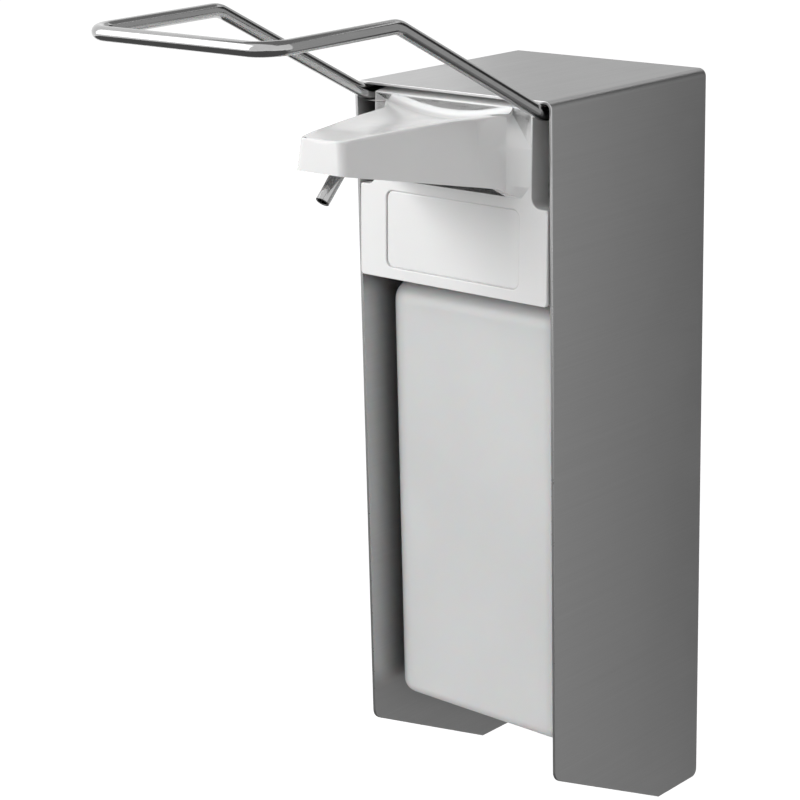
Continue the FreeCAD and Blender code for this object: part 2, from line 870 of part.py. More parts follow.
def make_pump_cylinder():
    tube = rod_z(cylinder_radius, 0, pump_y, cylinder_floor, cylinder_top)
    flange = rod_z(cylinder_flange_diameter / 2, 0, pump_y, deck_top, cylinder_top)
    bore = rod_z(cylinder_bore / 2, 0, pump_y, cylinder_floor - overrun, cylinder_top + overrun)
    return tube.fuse(flange).removeSplitter().cut(bore)


def make_guide_collar():
    """The turned collar that closes the cylinder and guides the rod."""
    flange = rod_z(collar_flange_diameter / 2, 0, pump_y, cylinder_top, collar_shoulder)
    nose = rod_z(collar_nose_diameter / 2, 0, pump_y, collar_shoulder, collar_top)
    rim = edges_where(nose, lambda c, edge: c.z > collar_top - overrun and edge.Closed)
    nose = nose.makeFillet(collar_nose_radius, rim)
    plug_floor = cylinder_top - collar_plug_length
    plug = rod_z(cylinder_bore / 2, 0, pump_y, plug_floor, cylinder_top)
    bore = rod_z(rod_diameter / 2 + shaft_gap, 0, pump_y, plug_floor - overrun, collar_top + overrun)
    return fuse([flange, nose, plug]).cut(bore)


def make_foot_valve():
    """The foot that closes the cylinder, with the inlet ball's cage and a nipple for the suction tube."""
    nipple_floor = foot_body_floor - foot_nipple_length
    seat_z = cylinder_floor - inlet_seat_depth
    plug = rod_z(cylinder_bore / 2, 0, pump_y, cylinder_floor, foot_plug_top)
    body = rod_z(cylinder_radius, 0, pump_y, foot_body_floor, cylinder_floor)
    nipple = rod_z(suction_bore / 2, 0, pump_y, nipple_floor, foot_body_floor)
    cage = rod_z(inlet_ball_diameter / 2 + inlet_ball_gap, 0, pump_y, seat_z, foot_plug_top + overrun)
    bore = rod_z(foot_bore / 2, 0, pump_y, nipple_floor - overrun, foot_plug_top)
    return cut(fuse([plug, body, nipple]), [cage, bore])


def make_inlet_ball():
    return seated_ball(inlet_ball_diameter, foot_bore, cylinder_floor - inlet_seat_depth)


def make_return_spring():
    """A compression spring between the foot valve and the piston."""
    low = foot_plug_top + spring_wire / 2
    length = piston_floor - spring_wire / 2 - low
    radius = spring_mean_diameter / 2
    helix = Part.makeHelix(length / spring_turns, length, radius)
    section = Part.Wire([Part.Circle(V(radius, 0, 0), Y_AXIS, spring_wire / 2).toShape()])
    spring = Part.Wire(helix.Edges).makePipeShell([section], True, True)
    return spring.translated(V(0, pump_y, low))


def make_suction_tube():
    """The dip tube, pushed on to the foot valve's nipple and cut slanting at its lower end."""
    radius = suction_diameter / 2
    tube = rod_z(radius, 0, pump_y, suction_floor, foot_body_floor)
    bore = rod_z(suction_bore / 2, 0, pump_y, suction_floor - overrun, foot_body_floor)
    front = pump_y - radius - overrun
    back = pump_y + radius
    slant_top = suction_floor + (back - front) * math.tan(math.radians(suction_bevel))
    slant = [
        (back, suction_floor, 0),
        (front, slant_top, 0),
        (front, suction_floor - overrun, 0),
        (back, suction_floor - overrun, 0),
    ]
    return cut(tube, [bore, prism_x(slant, -suction_diameter, suction_diameter)])


def cover_back(z):
    """The Y of the cover's inner face at height z."""
    return cover_front + (z - cover_floor) * math.sin(math.radians(cover_lean)) + cover_wall


def make_pump_cradle():
    """A moulded carrier that rides on the fork's tines, which run in grooves along its sides."""
    body = fork_gap_width / 2 - slide_gap
    lip = body + cradle_lip_width
    section = [
        (-cradle_half, deck_floor, cradle_edge),
        (-body, deck_floor, 0),
        (-body, lip_top, 0),
        (-lip, lip_top, cradle_edge),
        (-lip, cradle_floor, cradle_edge),
        (lip, cradle_floor, cradle_edge),
        (lip, lip_top, cradle_edge),
        (body, lip_top, 0),
        (body, deck_floor, 0),
        (cradle_half, deck_floor, cradle_edge),
        (cradle_half, deck_top, cradle_edge),
        (-cradle_half, deck_top, cradle_edge),
    ]
    plan = [
        (-cradle_half, cradle_front, cradle_corner),
        (cradle_half, cradle_front, cradle_corner),
        (cradle_half, cradle_back, cradle_corner),
        (-cradle_half, cradle_back, cradle_corner),
    ]
    carrier = prism_y(section, cradle_front, cradle_back)
    carrier = carrier.common(prism_z(plan, cradle_floor - overrun, deck_top + overrun))
    post_half = cover_pin_diameter / 2 + pin_post_margin
    posts = []
    pins = []
    for side in (-1, 1):
        x = side * cover_pin_spacing / 2
        post_back = cradle_front + cover_pin_post
        posts.append(box(x - post_half, x + post_half, cradle_front, post_back, deck_top, pin_z + post_half))
        pin_front = cover_back(pin_z) + cover_pin_cover_gap
        pins.append(rod_y(cover_pin_diameter / 2, x, pin_front, cradle_front, pin_z))
    bore = rod_z(cylinder_radius, 0, pump_y, cradle_floor - overrun, deck_top + overrun)
    return fuse([carrier] + posts + pins).cut(bore)


def make_neck_seal():
    outer = rod_z(neck_diameter / 2, 0, pump_y, neck_top, cradle_floor)
    return outer.cut(rod_z(cylinder_radius, 0, pump_y, neck_top, cradle_floor))


# Bottle

def bottle_block(inset, floor, shoulder):
    """The bottle's rounded body, smaller all round by inset."""
    corner = bottle_corner_radius - inset
    corners = [
        (-bottle_half + inset, bottle_front + inset, corner),
        (bottle_half - inset, bottle_front + inset, corner),
        (bottle_half - inset, bottle_back - inset, corner),
        (-bottle_half + inset, bottle_back - inset, corner),
    ]
    body = prism_z(corners, floor, shoulder)
    upper = edges_where(body, lambda c, edge: c.z > shoulder - overrun)
    body = body.makeFillet(bottle_shoulder_radius - inset, upper)
    lower = edges_where(body, lambda c, edge: c.z < floor + overrun)
    return body.makeFillet(bottle_floor_radius - inset, lower)


def make_bottle():
    outside = bottle_block(0, bottle_floor, bottle_shoulder)
    inside = bottle_block(bottle_wall, bottle_inner_floor, bottle_shoulder - bottle_wall)
    neck_radius = neck_diameter / 2
    neck = rod_z(neck_radius, 0, pump_y, bottle_shoulder - bottle_wall, neck_top)
    bead_floor = bottle_shoulder + neck_bead_rise
    bead = rod_z(neck_radius + neck_bead, 0, pump_y, bead_floor, bead_floor + neck_bead_height)
    throat_floor = bottle_shoulder - 2 * bottle_wall
    throat = rod_z(neck_radius - bottle_wall, 0, pump_y, throat_floor, neck_top + overrun)
    side = bottle_half - bottle_base_margin
    front = bottle_front + bottle_base_margin
    back = bottle_back - bottle_base_margin
    base_corners = [
        (-side, front, bottle_base_corner),
        (side, front, bottle_base_corner),
        (side, back, bottle_base_corner),
        (-side, back, bottle_base_corner),
    ]
    base = prism_z(base_corners, bottle_floor - overrun, bottle_floor + bottle_base_recess)
    return cut(fuse([outside, neck, bead]), [inside, throat, base])


# Front cover

def cover_outline(inset):
    """The cover's outline from the front: a wide plate with a narrower tower between the two slots."""
    plate = plate_half - inset
    tower = tower_half - inset
    notch = plate_height - inset
    corner = max(cover_corner_radius - inset, 0)
    slot_corner = max(slot_corner_radius - inset, 0)
    tower_corner = max(tower_corner_radius - inset, 0)
    slot_radius = slot_floor_radius + inset
    return [
        (-plate, inset, corner),
        (plate, inset, corner),
        (plate, notch, slot_corner),
        (tower, notch, slot_radius),
        (tower, tower_top - inset, tower_corner),
        (-tower, tower_top - inset, tower_corner),
        (-tower, notch, slot_radius),
        (-plate, notch, slot_corner),
    ]


def flare_root_half(z):
    """Half the beak's width where its flare meets the cover's face, at height z."""
    if z >= beak_root_top:
        return beak_root_half_high
    if z >= beak_shoulder:
        share = (z - beak_shoulder) / (beak_root_top - beak_shoulder)
        return flare_half + share * (beak_root_half_high - flare_half)
    if z >= beak_waist:
        return flare_half
    share = (z - beak_flare_floor) / (beak_waist - beak_flare_floor)
    return beak_flare_floor_half + share * (flare_half - beak_flare_floor_half)


def beak_right_side(z, inset, flared):
    """The right half of the beak's plan at height z: its nose, the edges from there, and their last point."""
    share = (z - beak_tip_floor) / (beak_tip_top - beak_tip_floor)
    tip_y = -beak_reach + share * beak_tip_setback + inset
    slant = math.atan(beak_side_slope)
    tip_x = beak_tip_half_low + share * (beak_tip_half_high - beak_tip_half_low)
    tip_x = tip_x - inset / math.cos(slant) + inset * beak_side_slope
    corner = V(tip_x, tip_y, z)
    along = V(math.sin(slant), math.cos(slant), 0)
    nose, crown, side = bend(corner, corner - X_AXIS, corner + along, max(beak_tip_radius - inset, overrun))
    edges = [Part.Arc(nose, crown, side).toShape()]
    if not flared:
        end = corner + along * ((cover_rim_depth - tip_y) / along.y)
        edges.append(Part.LineSegment(side, end).toShape())
        return nose, edges, end
    start = corner + along * ((-beak_flare_length - tip_y) / along.y)
    crease = V(beak_root_half_high, -beak_crease_ahead, z)
    root = V(flare_root_half(z), 0, z)
    end = V(root.x, cover_wall / 2, z)
    corners = [side, start, crease, root, end]
    edges += [Part.LineSegment(here, there).toShape() for here, there in zip(corners, corners[1:])]
    return nose, edges, end


def beak_plan(z, inset, flared):
    """The beak's closed plan outline at height z."""
    nose, edges, end = beak_right_side(z, inset, flared)
    left = [edge.mirror(V(0, 0, 0), X_AXIS) for edge in edges]
    front = Part.LineSegment(V(-nose.x, nose.y, z), nose).toShape()
    back = Part.LineSegment(end, V(-end.x, end.y, z)).toShape()
    return Part.Wire(Part.__sortEdges__([front, back] + edges + left))


def beak_sides(inset, flared):
    """The beak's tapering sides, taller than the beak itself."""
    roof = tower_top + beak_wall
    levels = [beak_flare_floor, beak_waist, beak_shoulder, beak_root_top, roof] if flared else [0, roof]
    plans = [beak_plan(z, inset, flared) for z in levels]
    bands = [Part.makeLoft([low, high], True, True) for low, high in zip(plans, plans[1:])]
    return bands[0] if len(bands) == 1 else bands[0].multiFuse(bands[1:])


def beak_side_view():
    """Everything above the beak's lower edge, seen from the side."""
    front = -beak_reach - overrun
    roof = tower_top + beak_wall
    corners = [
        (front, beak_tip_floor, 0),
        (-beak_reach, beak_tip_floor, 0),
        (-beak_flare_length / 2, beak_root_floor + beak_lip, 0),
        (cover_wall, beak_flare_floor, 0),
        (cover_wall, roof, 0),
        (front, roof, 0),
    ]
    return prism_x(corners, -plate_half, plate_half)


def dish_section(y, half, edge_height, sag):
    """A tall section at depth y whose lower side is an arc, edge_height high at half to either side."""
    radius = (half ** 2 + sag ** 2) / (2 * sag)
    centre = edge_height - sag + radius
    reach = plate_half - slot_floor_radius
    rise = centre - math.sqrt(radius ** 2 - reach ** 2)
    roof = tower_top + plate_height
    low_left = V(-reach, y, rise)
    low_right = V(reach, y, rise)
    high_right = V(reach, y, roof)
    high_left = V(-reach, y, roof)
    return Part.Wire([
        Part.Arc(low_left, V(0, y, edge_height - sag), low_right).toShape(),
        Part.LineSegment(low_right, high_right).toShape(),
        Part.LineSegment(high_right, high_left).toShape(),
        Part.LineSegment(high_left, low_left).toShape(),
    ])


def above_beak(lowering):
    """All that lies above the beak's dished top, with a rounded edge where it meets the tower."""
    crest_half = beak_tip_half_high + (beak_reach - beak_flare_length) * beak_side_slope
    sections = [
        (-beak_reach, 2 * beak_tip_half_high, beak_tip_top + beak_tip_dish, beak_tip_dish),
        (-beak_flare_length, crest_half, beak_root_top - beak_crest_drop, beak_crest_dish),
        (0, beak_root_half_high, beak_root_top, beak_root_dish),
    ]
    wires = [dish_section(y, half, edge - lowering, sag) for y, half, edge, sag in sections]
    solid = Part.makeLoft(wires, True, False)
    root = edges_where(solid, lambda c, edge: abs(c.y) < pin_gap and c.z < tower_top)
    solid = solid.makeFillet(beak_root_fillet, root)
    tip_z = beak_tip_top - lowering
    roof = tower_top + plate_height
    ahead = box(-plate_half, plate_half, -beak_reach - overrun, -beak_reach, tip_z, roof)
    return solid.fuse(ahead)


def beak_cavity():
    """The space inside the beak, open below, with a passage for the tube through the cover's face."""
    inner = beak_sides(beak_wall, False)
    ahead = box(-plate_half, plate_half, -beak_reach, 0, 0, tower_top)
    inside = inner.common(ahead).cut(above_beak(beak_wall))
    passage_top = beak_root_top - beak_root_dish - beak_wall - passage_roof
    passage = box(-plate_half, plate_half, -overrun, cover_rim_depth, passage_floor, passage_top)
    return inside.fuse(inner.common(passage))


def ridge_slope():
    """What the slope above the tower's ridge takes away."""
    roof = tower_top + plate_height
    corners = [
        (-cover_rim_depth, ridge_z, 0),
        (0, ridge_z, 0),
        (ridge_run, tower_top, 0),
        (cover_rim_depth + overrun, tower_top, 0),
        (cover_rim_depth + overrun, roof, 0),
        (-cover_rim_depth, roof, 0),
    ]
    return prism_x(corners, -plate_half, plate_half)


def label_recess():
    """The shallow recess for a label, left bare."""
    half = label_width / 2
    top = label_floor + label_height
    corners = [
        (-half, label_floor, label_corner),
        (half, label_floor, label_corner),
        (half, top, label_corner),
        (-half, top, label_corner),
    ]
    return prism_y(corners, -overrun, label_depth)


def make_cover_body():
    """The cover in its own frame: plate and tower with a rim behind, and the hollow beak."""
    block = prism_y(cover_outline(0), 0, cover_rim_depth)
    hollow = prism_y(cover_outline(cover_rim_wall), cover_wall, cover_rim_depth + overrun)
    beak = beak_sides(0, True).common(beak_side_view()).cut(above_beak(0))
    shell = cut(block, [hollow, label_recess()])
    return cut(shell.fuse(beak).removeSplitter(), [ridge_slope(), beak_cavity()])


def make_front_cover():
    """The cover leaned and put in place, with two sockets behind that push on to the cradle's pins."""
    cover = make_cover_body()
    cover.rotate(V(0, 0, 0), X_AXIS, -cover_lean)
    cover.translate(V(0, cover_front, cover_floor))
    wall = cover_back(pin_z)
    back = cradle_front - slide_gap
    bosses = []
    bores = []
    for side in (-1, 1):
        x = side * cover_pin_spacing / 2
        bore_radius = cover_pin_diameter / 2 + pin_gap
        bosses.append(rod_y(bore_radius + boss_wall, x, wall - boss_root, back, pin_z))
        bores.append(rod_y(bore_radius, x, wall + boss_root, back + overrun, pin_z))
    return cut(fuse([cover] + bosses), bores)


nodes = {
    "housing_shell": make_housing_shell,
    "back_plate": make_back_plate,
    "bottle_shelf": make_bottle_shelf,
    "pump_bracket": make_pump_bracket,
    "pivot_bracket": make_pivot_bracket,
    "bracket_rivets": make_bracket_rivets,
    "pivot_bush_left": lambda: make_pivot_bush(-1),
    "pivot_bush_right": lambda: make_pivot_bush(1),
    "lever_stops": make_lever_stops,
    "lever_wire": make_lever_wire,
    "arm_socket_left": lambda: make_arm_socket(-1),
    "arm_socket_right": lambda: make_arm_socket(1),
    "socket_screws": make_socket_screws,
    "rocker": make_rocker,
    "press_pad": make_press_pad,
    "pivot_shaft": make_pivot_shaft,
    "shaft_clips": make_shaft_clips,
    "pump_head": make_pump_head,
    "outlet_tube": make_outlet_tube,
    "tube_nut": make_tube_nut,
    "piston_rod": make_piston_rod,
    "piston": make_piston,
    "piston_ring": make_piston_ring,
    "outlet_ball": make_outlet_ball,
    "pump_cylinder": make_pump_cylinder,
    "guide_collar": make_guide_collar,
    "foot_valve": make_foot_valve,
    "inlet_ball": make_inlet_ball,
    "return_spring": make_return_spring,
    "suction_tube": make_suction_tube,
    "pump_cradle": make_pump_cradle,
    "neck_seal": make_neck_seal,
    "bottle": make_bottle,
    "front_cover": make_front_cover,
}

os.makedirs("parts", exist_ok=True)
for name, make in nodes.items():
    shape = make()
    shape.translate(V(0, 0, -wall_slot_height))
    state = "valid" if shape.isValid() else "NOT VALID"
    print(name, len(shape.Solids), "solids", state, round(shape.Volume, 1))
    shape.exportStep("parts/" + name + ".step")
print("pivot", round(pivot_y, 4), round(pivot_height - wall_slot_height, 4))
print("spring's fixed end", round(foot_plug_top - wall_slot_height, 4))
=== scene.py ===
import bpy
import bmesh
import json
import math
from mathutils import Matrix, Vector


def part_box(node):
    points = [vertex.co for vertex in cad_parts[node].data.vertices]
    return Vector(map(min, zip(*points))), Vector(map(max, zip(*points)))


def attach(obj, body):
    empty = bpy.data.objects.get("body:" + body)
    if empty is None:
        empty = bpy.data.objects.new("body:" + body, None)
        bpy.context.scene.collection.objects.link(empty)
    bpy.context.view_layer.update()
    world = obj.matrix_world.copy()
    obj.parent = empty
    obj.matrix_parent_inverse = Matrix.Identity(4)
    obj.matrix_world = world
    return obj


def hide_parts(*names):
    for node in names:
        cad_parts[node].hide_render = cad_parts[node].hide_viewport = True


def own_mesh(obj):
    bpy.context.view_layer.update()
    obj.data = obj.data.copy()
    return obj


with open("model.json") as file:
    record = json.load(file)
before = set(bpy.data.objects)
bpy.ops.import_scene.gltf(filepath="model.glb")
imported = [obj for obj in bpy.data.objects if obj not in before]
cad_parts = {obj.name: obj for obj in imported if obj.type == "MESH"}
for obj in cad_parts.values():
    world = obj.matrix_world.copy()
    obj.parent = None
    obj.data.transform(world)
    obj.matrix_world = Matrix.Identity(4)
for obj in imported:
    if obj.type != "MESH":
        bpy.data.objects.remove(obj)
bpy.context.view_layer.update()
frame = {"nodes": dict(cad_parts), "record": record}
scene = bpy.context.scene
nodes = frame["nodes"]
body_of_node = {n: body for body, members in frame["record"]["behaviour"]["bodies"].items() for n in members}

# Heights are from the wall slots' centre, the frame's origin. The housing hangs on its wall above the floor.
floor_z = -0.52


def mm(value):
    return value / 1000


# Camera: a view from the right and slightly above, in degrees and millimetres

camera_angles = (42.334, 16.540, -1.423)
camera_place = (533.3, -707.4, 283.9)
camera_lens = 103.84
camera_sensor = 36


def aim_camera():
    azimuth, elevation, roll = (math.radians(angle) for angle in camera_angles)
    back = Vector((
        math.sin(azimuth) * math.cos(elevation),
        -math.cos(azimuth) * math.cos(elevation),
        math.sin(elevation),
    ))
    across = Vector((math.cos(azimuth), math.sin(azimuth), 0))
    upright = back.cross(across)
    right = across * math.cos(roll) + upright * math.sin(roll)
    up = upright * math.cos(roll) - across * math.sin(roll)
    data = bpy.data.cameras.new("photo_view")
    data.lens = camera_lens
    data.sensor_width = camera_sensor
    data.sensor_height = camera_sensor
    data.sensor_fit = "AUTO"
    data.clip_start = 0.01
    data.clip_end = 40
    camera = bpy.data.objects.new("photo_view", data)
    turn = Matrix((right, up, back)).transposed().to_4x4()
    camera.matrix_world = Matrix.Translation([mm(value) for value in camera_place]) @ turn
    scene.collection.objects.link(camera)
    scene.camera = camera


# Node trees

def new_node(tree, kind, **settings):
    node = tree.nodes.new(kind)
    for name, value in settings.items():
        setattr(node, name, value)
    return node


def feed(tree, node, socket, source):
    """Sets a socket to a plain value, or links it from another node's output."""
    if isinstance(source, bpy.types.NodeSocket):
        tree.links.new(source, node.inputs[socket])
    else:
        node.inputs[socket].default_value = source


def math_node(tree, operation, first, second=0.0):
    node = new_node(tree, "ShaderNodeMath", operation=operation)
    feed(tree, node, 0, first)
    feed(tree, node, 1, second)
    return node.outputs[0]


def blend_colour(tree, factor, first, second):
    node = new_node(tree, "ShaderNodeMix", data_type="RGBA")
    feed(tree, node, 0, factor)
    feed(tree, node, 6, first)
    feed(tree, node, 7, second)
    return node.outputs[2]


def spread(tree, value, low, high, to_low, to_high):
    node = new_node(tree, "ShaderNodeMapRange", clamp=True)
    for i, source in enumerate((value, low, high, to_low, to_high)):
        feed(tree, node, i, source)
    return node.outputs[0]


def noise(tree, coords, scale, detail, roughness):
    node = new_node(tree, "ShaderNodeTexNoise")
    feed(tree, node, "Vector", coords)
    feed(tree, node, "Scale", scale)
    feed(tree, node, "Detail", detail)
    feed(tree, node, "Roughness", roughness)
    return node.outputs[0]


def stretched(tree, coords, stretch):
    """The coordinates multiplied per axis, which draws a pattern out along the small axes."""
    node = new_node(tree, "ShaderNodeVectorMath", operation="MULTIPLY")
    feed(tree, node, 0, coords)
    feed(tree, node, 1, stretch)
    return node.outputs[0]


def axis_of(tree, coords, axis):
    node = new_node(tree, "ShaderNodeSeparateXYZ")
    feed(tree, node, 0, coords)
    return node.outputs[axis]


def new_group(name, inputs, outputs):
    """An empty shader group with value inputs {name: default}, a Coords input and the named outputs."""
    tree = bpy.data.node_groups.new(name, "ShaderNodeTree")
    tree.interface.new_socket("Coords", in_out="INPUT", socket_type="NodeSocketVector")
    for key, default in inputs.items():
        kind = "NodeSocketVector" if isinstance(default, tuple) else "NodeSocketFloat"
        tree.interface.new_socket(key, in_out="INPUT", socket_type=kind).default_value = default
    for key in outputs:
        tree.interface.new_socket(key, in_out="OUTPUT", socket_type="NodeSocketFloat")
    return tree, tree.nodes.new("NodeGroupInput"), tree.nodes.new("NodeGroupOutput")


def grain_group():
    """Brush lines drawn out along one axis, fine and coarse, with slow clouds and a few long scratches."""
    tree, given, out = new_group(
        "brush_grain", {"Lines": (2400.0, 16.0, 2400.0), "Clouds": 11.0, "Scratches": 0.5}, ["Tone", "Height"])
    coords, lines = given.outputs["Coords"], given.outputs["Lines"]
    fine = noise(tree, stretched(tree, coords, lines), 1.0, 2.0, 0.6)
    coarse = noise(tree, stretched(tree, coords, stretched(tree, lines, (0.22, 0.3, 0.22))), 1.0, 2.0, 0.5)
    clouds = noise(tree, coords, given.outputs["Clouds"], 2.0, 0.5)
    sparse = noise(tree, stretched(tree, coords, stretched(tree, lines, (0.6, 1.2, 0.6))), 1.0, 0.0, 0.4)
    scratch = math_node(tree, "MULTIPLY", spread(tree, sparse, 0.74, 0.80, 0.0, 1.0), given.outputs["Scratches"])
    both = math_node(tree, "ADD", math_node(tree, "MULTIPLY", fine, 0.5), math_node(tree, "MULTIPLY", coarse, 0.3))
    tone = math_node(tree, "ADD", both, math_node(tree, "MULTIPLY", clouds, 0.2))
    feed(tree, out, "Tone", math_node(tree, "ADD", tone, math_node(tree, "MULTIPLY", scratch, 0.25)))
    feed(tree, out, "Height", math_node(tree, "SUBTRACT", both, scratch))
    return tree


def rolled_group():
    """The rolled edges that the bevels marked, broken up by noise into patches: the mask for a painted highlight along
    the edges, and on steel also for the edges' smoother, handled finish.
    """
    tree, given, out = new_group("rolled_edge", {"Patchiness": 0.5, "Break": 180.0}, ["Edge"])
    mark = new_node(tree, "ShaderNodeAttribute", attribute_name="rolled").outputs["Fac"]
    broken = noise(tree, given.outputs["Coords"], given.outputs["Break"], 3.0, 0.6)
    kept = math_node(tree, "SUBTRACT", 1.0, given.outputs["Patchiness"])
    feed(tree, out, "Edge", math_node(tree, "MULTIPLY", mark, spread(tree, broken, 0.35, 0.65, kept, 1.0)))
    return tree


def moulded_group():
    """The faint waviness and slow tone drift of a moulded plastic skin."""
    tree, given, out = new_group("moulded_skin", {"Ripple": 260.0, "Cloud": 16.0}, ["Tone", "Height"])
    feed(tree, out, "Height", noise(tree, given.outputs["Coords"], given.outputs["Ripple"], 2.0, 0.5))
    feed(tree, out, "Tone", noise(tree, given.outputs["Coords"], given.outputs["Cloud"], 3.0, 0.5))
    return tree


def handled_group():
    """Soft smudges and fine hairline marks on a surface that is handled."""
    tree, given, out = new_group("handled", {"Smudge": 38.0, "Hairline": 1.0}, ["Smudge", "Hairline"])
    patch = noise(tree, given.outputs["Coords"], given.outputs["Smudge"], 3.0, 0.6)
    feed(tree, out, "Smudge", spread(tree, patch, 0.45, 0.7, 0.0, 1.0))
    swirl = new_node(tree, "ShaderNodeTexWave", wave_type="BANDS", bands_direction="DIAGONAL")
    for socket, value in (("Vector", given.outputs["Coords"]), ("Scale", 180.0), ("Distortion", 38.0),
                          ("Detail", 3.0), ("Detail Scale", 0.6)):
        feed(tree, swirl, socket, value)
    line = spread(tree, swirl.outputs[1], 0.985, 1.0, 0.0, 1.0)
    feed(tree, out, "Hairline", math_node(tree, "MULTIPLY", line, given.outputs["Hairline"]))
    return tree


def parting_group():
    """A thin raised line round a piece, where the two halves of its mould met."""
    tree, given, out = new_group("parting_line", {"Place": 0.0, "Width": 0.0003}, ["Line"])
    away = math_node(tree, "ABSOLUTE", math_node(
        tree, "SUBTRACT", axis_of(tree, given.outputs["Coords"], 1), given.outputs["Place"]))
    feed(tree, out, "Line", spread(tree, away, 0.0, given.outputs["Width"], 1.0, 0.0))
    return tree


grain = grain_group()
rolled = rolled_group()
moulded = moulded_group()
handled = handled_group()
parting = parting_group()


def new_material(name, **constants):
    """A Principled material with its plain numbers set; returns the material, its tree, shader and coordinates."""
    material = bpy.data.materials.new(name)
    material.use_nodes = True
    tree = material.node_tree
    shader = tree.nodes["Principled BSDF"]
    for key, value in constants.items():
        shader.inputs[key.replace("_", " ")].default_value = value
    coords = new_node(tree, "ShaderNodeTexCoord").outputs["Object"]
    return material, tree, shader, coords


def place(tree, group, coords, **values):
    """A group placed in a material, with its own values."""
    node = new_node(tree, "ShaderNodeGroup", node_tree=group)
    feed(tree, node, "Coords", coords)
    for key, value in values.items():
        feed(tree, node, key, value)
    return node.outputs


def bump(tree, shader, height, distance):
    node = new_node(tree, "ShaderNodeBump")
    node.inputs["Strength"].default_value = 1.0
    node.inputs["Distance"].default_value = distance
    feed(tree, node, "Height", height)
    feed(tree, shader, "Normal", node.outputs[0])


def grey(value):
    return (value, value, value, 1.0)


# Steel: the depth of its marks in metres, its tone's range about the level, and how much brighter its rolled edges are
# painted, as a painted highlight
mark_depth = 0.000002
sheet_contrast = 0.025
edge_highlight_gain = 1.1


def brushed_steel(name, lines, level, roughness):
    """Satin sheet with brush lines, its rolled edges painted a little brighter as a painted highlight and left a
    little smoother, dulled here and there by smudges.
    """
    material, tree, shader, coords = new_material(name, Metallic=1.0)
    brushed = place(tree, grain, coords, Lines=lines)
    touched = place(tree, handled, coords)
    edge = place(tree, rolled, coords)["Edge"]
    dark, bright = grey(level * (1 - sheet_contrast)), grey(level * (1 + sheet_contrast))
    tone = blend_colour(tree, spread(tree, brushed["Tone"], 0.35, 0.65, 0.0, 1.0), dark, bright)
    # The rolled edges are blended towards a brighter grey: a painted highlight along the corners.
    feed(tree, shader, "Base Color", blend_colour(tree, edge, tone, grey(level * edge_highlight_gain)))
    satin = spread(tree, brushed["Tone"], 0.35, 0.65, roughness[1], roughness[0])
    dulled = math_node(tree, "ADD", satin, math_node(tree, "MULTIPLY", touched["Smudge"], 0.025))
    feed(tree, shader, "Roughness", math_node(tree, "SUBTRACT", dulled, math_node(tree, "MULTIPLY", edge, 0.05)))
    bump(tree, shader, brushed["Height"], mark_depth)
    return material


def bright_steel(name, level, roughness, lines):
    """Drawn or turned bright steel, with fine marks."""
    material, tree, shader, coords = new_material(name, Metallic=1.0)
    marks = place(tree, grain, coords, Lines=lines, Scratches=0.2)
    touched = place(tree, handled, coords, Smudge=90.0, Hairline=0.6)
    varied = spread(tree, marks["Tone"], 0.35, 0.65, 0.0, 1.0)
    feed(tree, shader, "Base Color", blend_colour(tree, varied, grey(level * 0.95), grey(level * 1.05)))
    rough = math_node(tree, "ADD", roughness, math_node(tree, "MULTIPLY", touched["Smudge"], roughness * 0.4))
    feed(tree, shader, "Roughness", math_node(tree, "ADD", rough, math_node(
        tree, "MULTIPLY", touched["Hairline"], 0.1)))
    bump(tree, shader, marks["Height"], mark_depth)
    return material


def moulded_plastic(name, colour, roughness, ripple=260.0, depth=0.000012, seam=None, **constants):
    """A moulded plastic skin: slight waviness, slow tone drift, a painted highlight on the rolled edges, maybe a
    parting line.
    """
    material, tree, shader, coords = new_material(name, **constants)
    skin = place(tree, moulded, coords, Ripple=ripple)
    touched = place(tree, handled, coords, Smudge=30.0, Hairline=0.5)
    edge = place(tree, rolled, coords)["Edge"]
    dark = tuple(c * 0.975 for c in colour) + (1.0,)
    bright = tuple(min(1.0, c * 1.02) for c in colour) + (1.0,)
    tone = blend_colour(tree, spread(tree, skin["Tone"], 0.35, 0.65, 0.0, 1.0), dark, bright)
    # The rolled edges are painted a little lighter: a painted highlight, with no change to their finish.
    lit = tuple(min(1.0, c * 1.05) for c in colour) + (1.0,)
    feed(tree, shader, "Base Color", blend_colour(tree, math_node(tree, "MULTIPLY", edge, 0.5), tone, lit))
    worn = math_node(tree, "ADD", roughness, math_node(tree, "MULTIPLY", touched["Smudge"], roughness * 0.2))
    feed(tree, shader, "Roughness", math_node(tree, "ADD", worn, math_node(
        tree, "MULTIPLY", touched["Hairline"], 0.04)))
    height = skin["Height"]
    if seam is not None:
        ridge = place(tree, parting, coords, Place=seam)["Line"]
        height = math_node(tree, "ADD", height, math_node(tree, "MULTIPLY", ridge, 6.0))
    bump(tree, shader, height, depth)
    return material


def rubber(name, level):
    material, tree, shader, coords = new_material(name)
    skin = place(tree, moulded, coords, Ripple=1400.0, Cloud=120.0)
    tone = blend_colour(tree, skin["Tone"], grey(level * 0.8), grey(level * 1.3))
    feed(tree, shader, "Base Color", tone)
    feed(tree, shader, "Roughness", spread(tree, skin["Height"], 0.3, 0.7, 0.62, 0.8))
    bump(tree, shader, skin["Height"], 0.00003)
    return material


def middle_y(node):
    low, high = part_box(node)
    return (low[1] + high[1]) / 2


